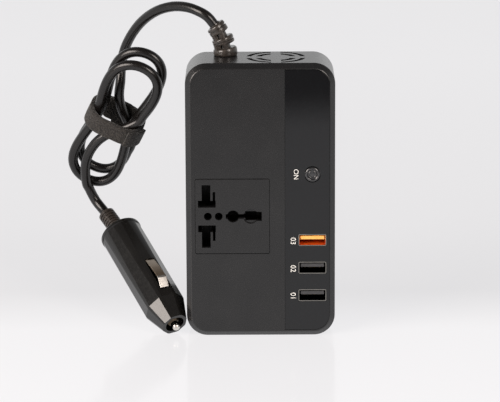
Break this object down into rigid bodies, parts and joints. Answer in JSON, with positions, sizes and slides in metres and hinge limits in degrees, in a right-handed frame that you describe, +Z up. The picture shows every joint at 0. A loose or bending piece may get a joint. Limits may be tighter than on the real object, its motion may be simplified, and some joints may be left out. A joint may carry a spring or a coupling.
{
  "type": "vehicle power inverter",
  "caption": "Pocket power inverter for a vehicle: upright bevelled case with a universal mains outlet, charging ports, push button, fan grille, and a tied cord with a lighter plug.",
  "frame": {"origin": "centre of the flat bottom end of the case, on the floor it stands on", "axes": "+X to the right of the front face, +Y to the back, +Z up along the case"},
  "size_m": [0.1288, 0.0734, 0.1553],
  "materials": {
    "case_plastic": "fine matt moulding",
    "panel_gloss": "smoked gloss",
    "inner_plastic": "black moulding",
    "orange_plastic": "orange moulding",
    "button_plastic": "satin",
    "white_plastic": "natural",
    "screw_steel": "zinc plated",
    "shell_steel": "bright nickel",
    "contact_brass": "bright",
    "board_laminate": "solder mask",
    "core_ferrite": "ground",
    "winding_tape": "tape",
    "capacitor_sleeve": "shrink sleeve",
    "sink_aluminium": "extruded",
    "transistor_epoxy": "moulded",
    "relief_rubber": "soft matt",
    "cord_jacket": "semi gloss jacket",
    "tie_fabric": "hook and loop pile",
    "plug_plastic": "polished moulding",
    "contact_nickel": "bright nickel",
    "fuse_glass": "clear"
  },
  "bodies": {
    "case": {"rear_housing": "case_plastic", "front_cover": "case_plastic", "control_panel": "panel_gloss", "housing_screws": "screw_steel", "socket_plate": "case_plastic", "socket_base": "inner_plastic", "live_contact": "contact_brass", "neutral_contact": "contact_brass", "earth_contact": "contact_brass", "socket_screws": "screw_steel", "usb_shell_1": "shell_steel", "usb_shell_2": "shell_steel", "usb_shell_3": "shell_steel", "usb_tongue_1": "inner_plastic", "usb_tongue_2": "inner_plastic", "usb_tongue_3": "orange_plastic", "usb_contacts": "contact_brass", "switch_body": "inner_plastic", "display_module": "inner_plastic", "control_board": "board_laminate", "board_screws": "screw_steel", "main_board": "board_laminate", "main_screws": "screw_steel", "transformer_core": "core_ferrite", "transformer_winding": "winding_tape", "transformer_bobbin": "inner_plastic", "bulk_capacitor": "capacitor_sleeve", "input_capacitors": "capacitor_sleeve", "heatsink": "sink_aluminium", "transistors": "transistor_epoxy", "fan_frame": "inner_plastic", "fan_stator": "shell_steel", "strain_relief": "relief_rubber", "cord_lead": "cord_jacket", "cord_hank": "cord_jacket", "cord_tail": "cord_jacket", "cord_tie": "tie_fabric", "plug_sleeve": "relief_rubber", "plug_body": "plug_plastic", "nose_cap": "plug_plastic", "tip_spring": "contact_nickel", "spring_terminal": "contact_brass"},
    "button": {"power_button": "button_plastic", "switch_plunger": "white_plastic"},
    "fan": {"fan_rotor": "inner_plastic"},
    "tip": {"tip_contact": "contact_nickel", "fuse_caps": "contact_nickel", "fuse_tube": "fuse_glass"},
    "side_a": {"side_contact_a": "contact_nickel"},
    "side_b": {"side_contact_b": "contact_nickel"}
  },
  "joints": [
    {"name": "button_press", "type": "slide", "parent": "case", "child": "button", "axis": [0, 1, 0], "range_m": [0, 0.0005], "stiffness_N_per_m": 600},
    {"name": "fan_spin", "type": "hinge", "parent": "case", "child": "fan", "pos_m": [0.0075, 0, 0.1242], "axis": [0, 0, 1], "continuous": true},
    {"name": "tip_press", "type": "slide", "parent": "case", "child": "tip", "axis": [-0.4357, 0.7166, 0.5446], "range_m": [0, 0.0024], "stiffness_N_per_m": 600, "deforming": ["tip_spring"]},
    {"name": "side_a_press", "type": "slide", "parent": "case", "child": "side_a", "axis": [-0.1458, 0.5409, -0.8283], "range_m": [0, 0.0012], "stiffness_N_per_m": 600},
    {"name": "side_b_press", "type": "slide", "parent": "case", "child": "side_b", "axis": [0.1458, -0.5409, 0.8283], "range_m": [0, 0.0012], "stiffness_N_per_m": 600}
  ]
}
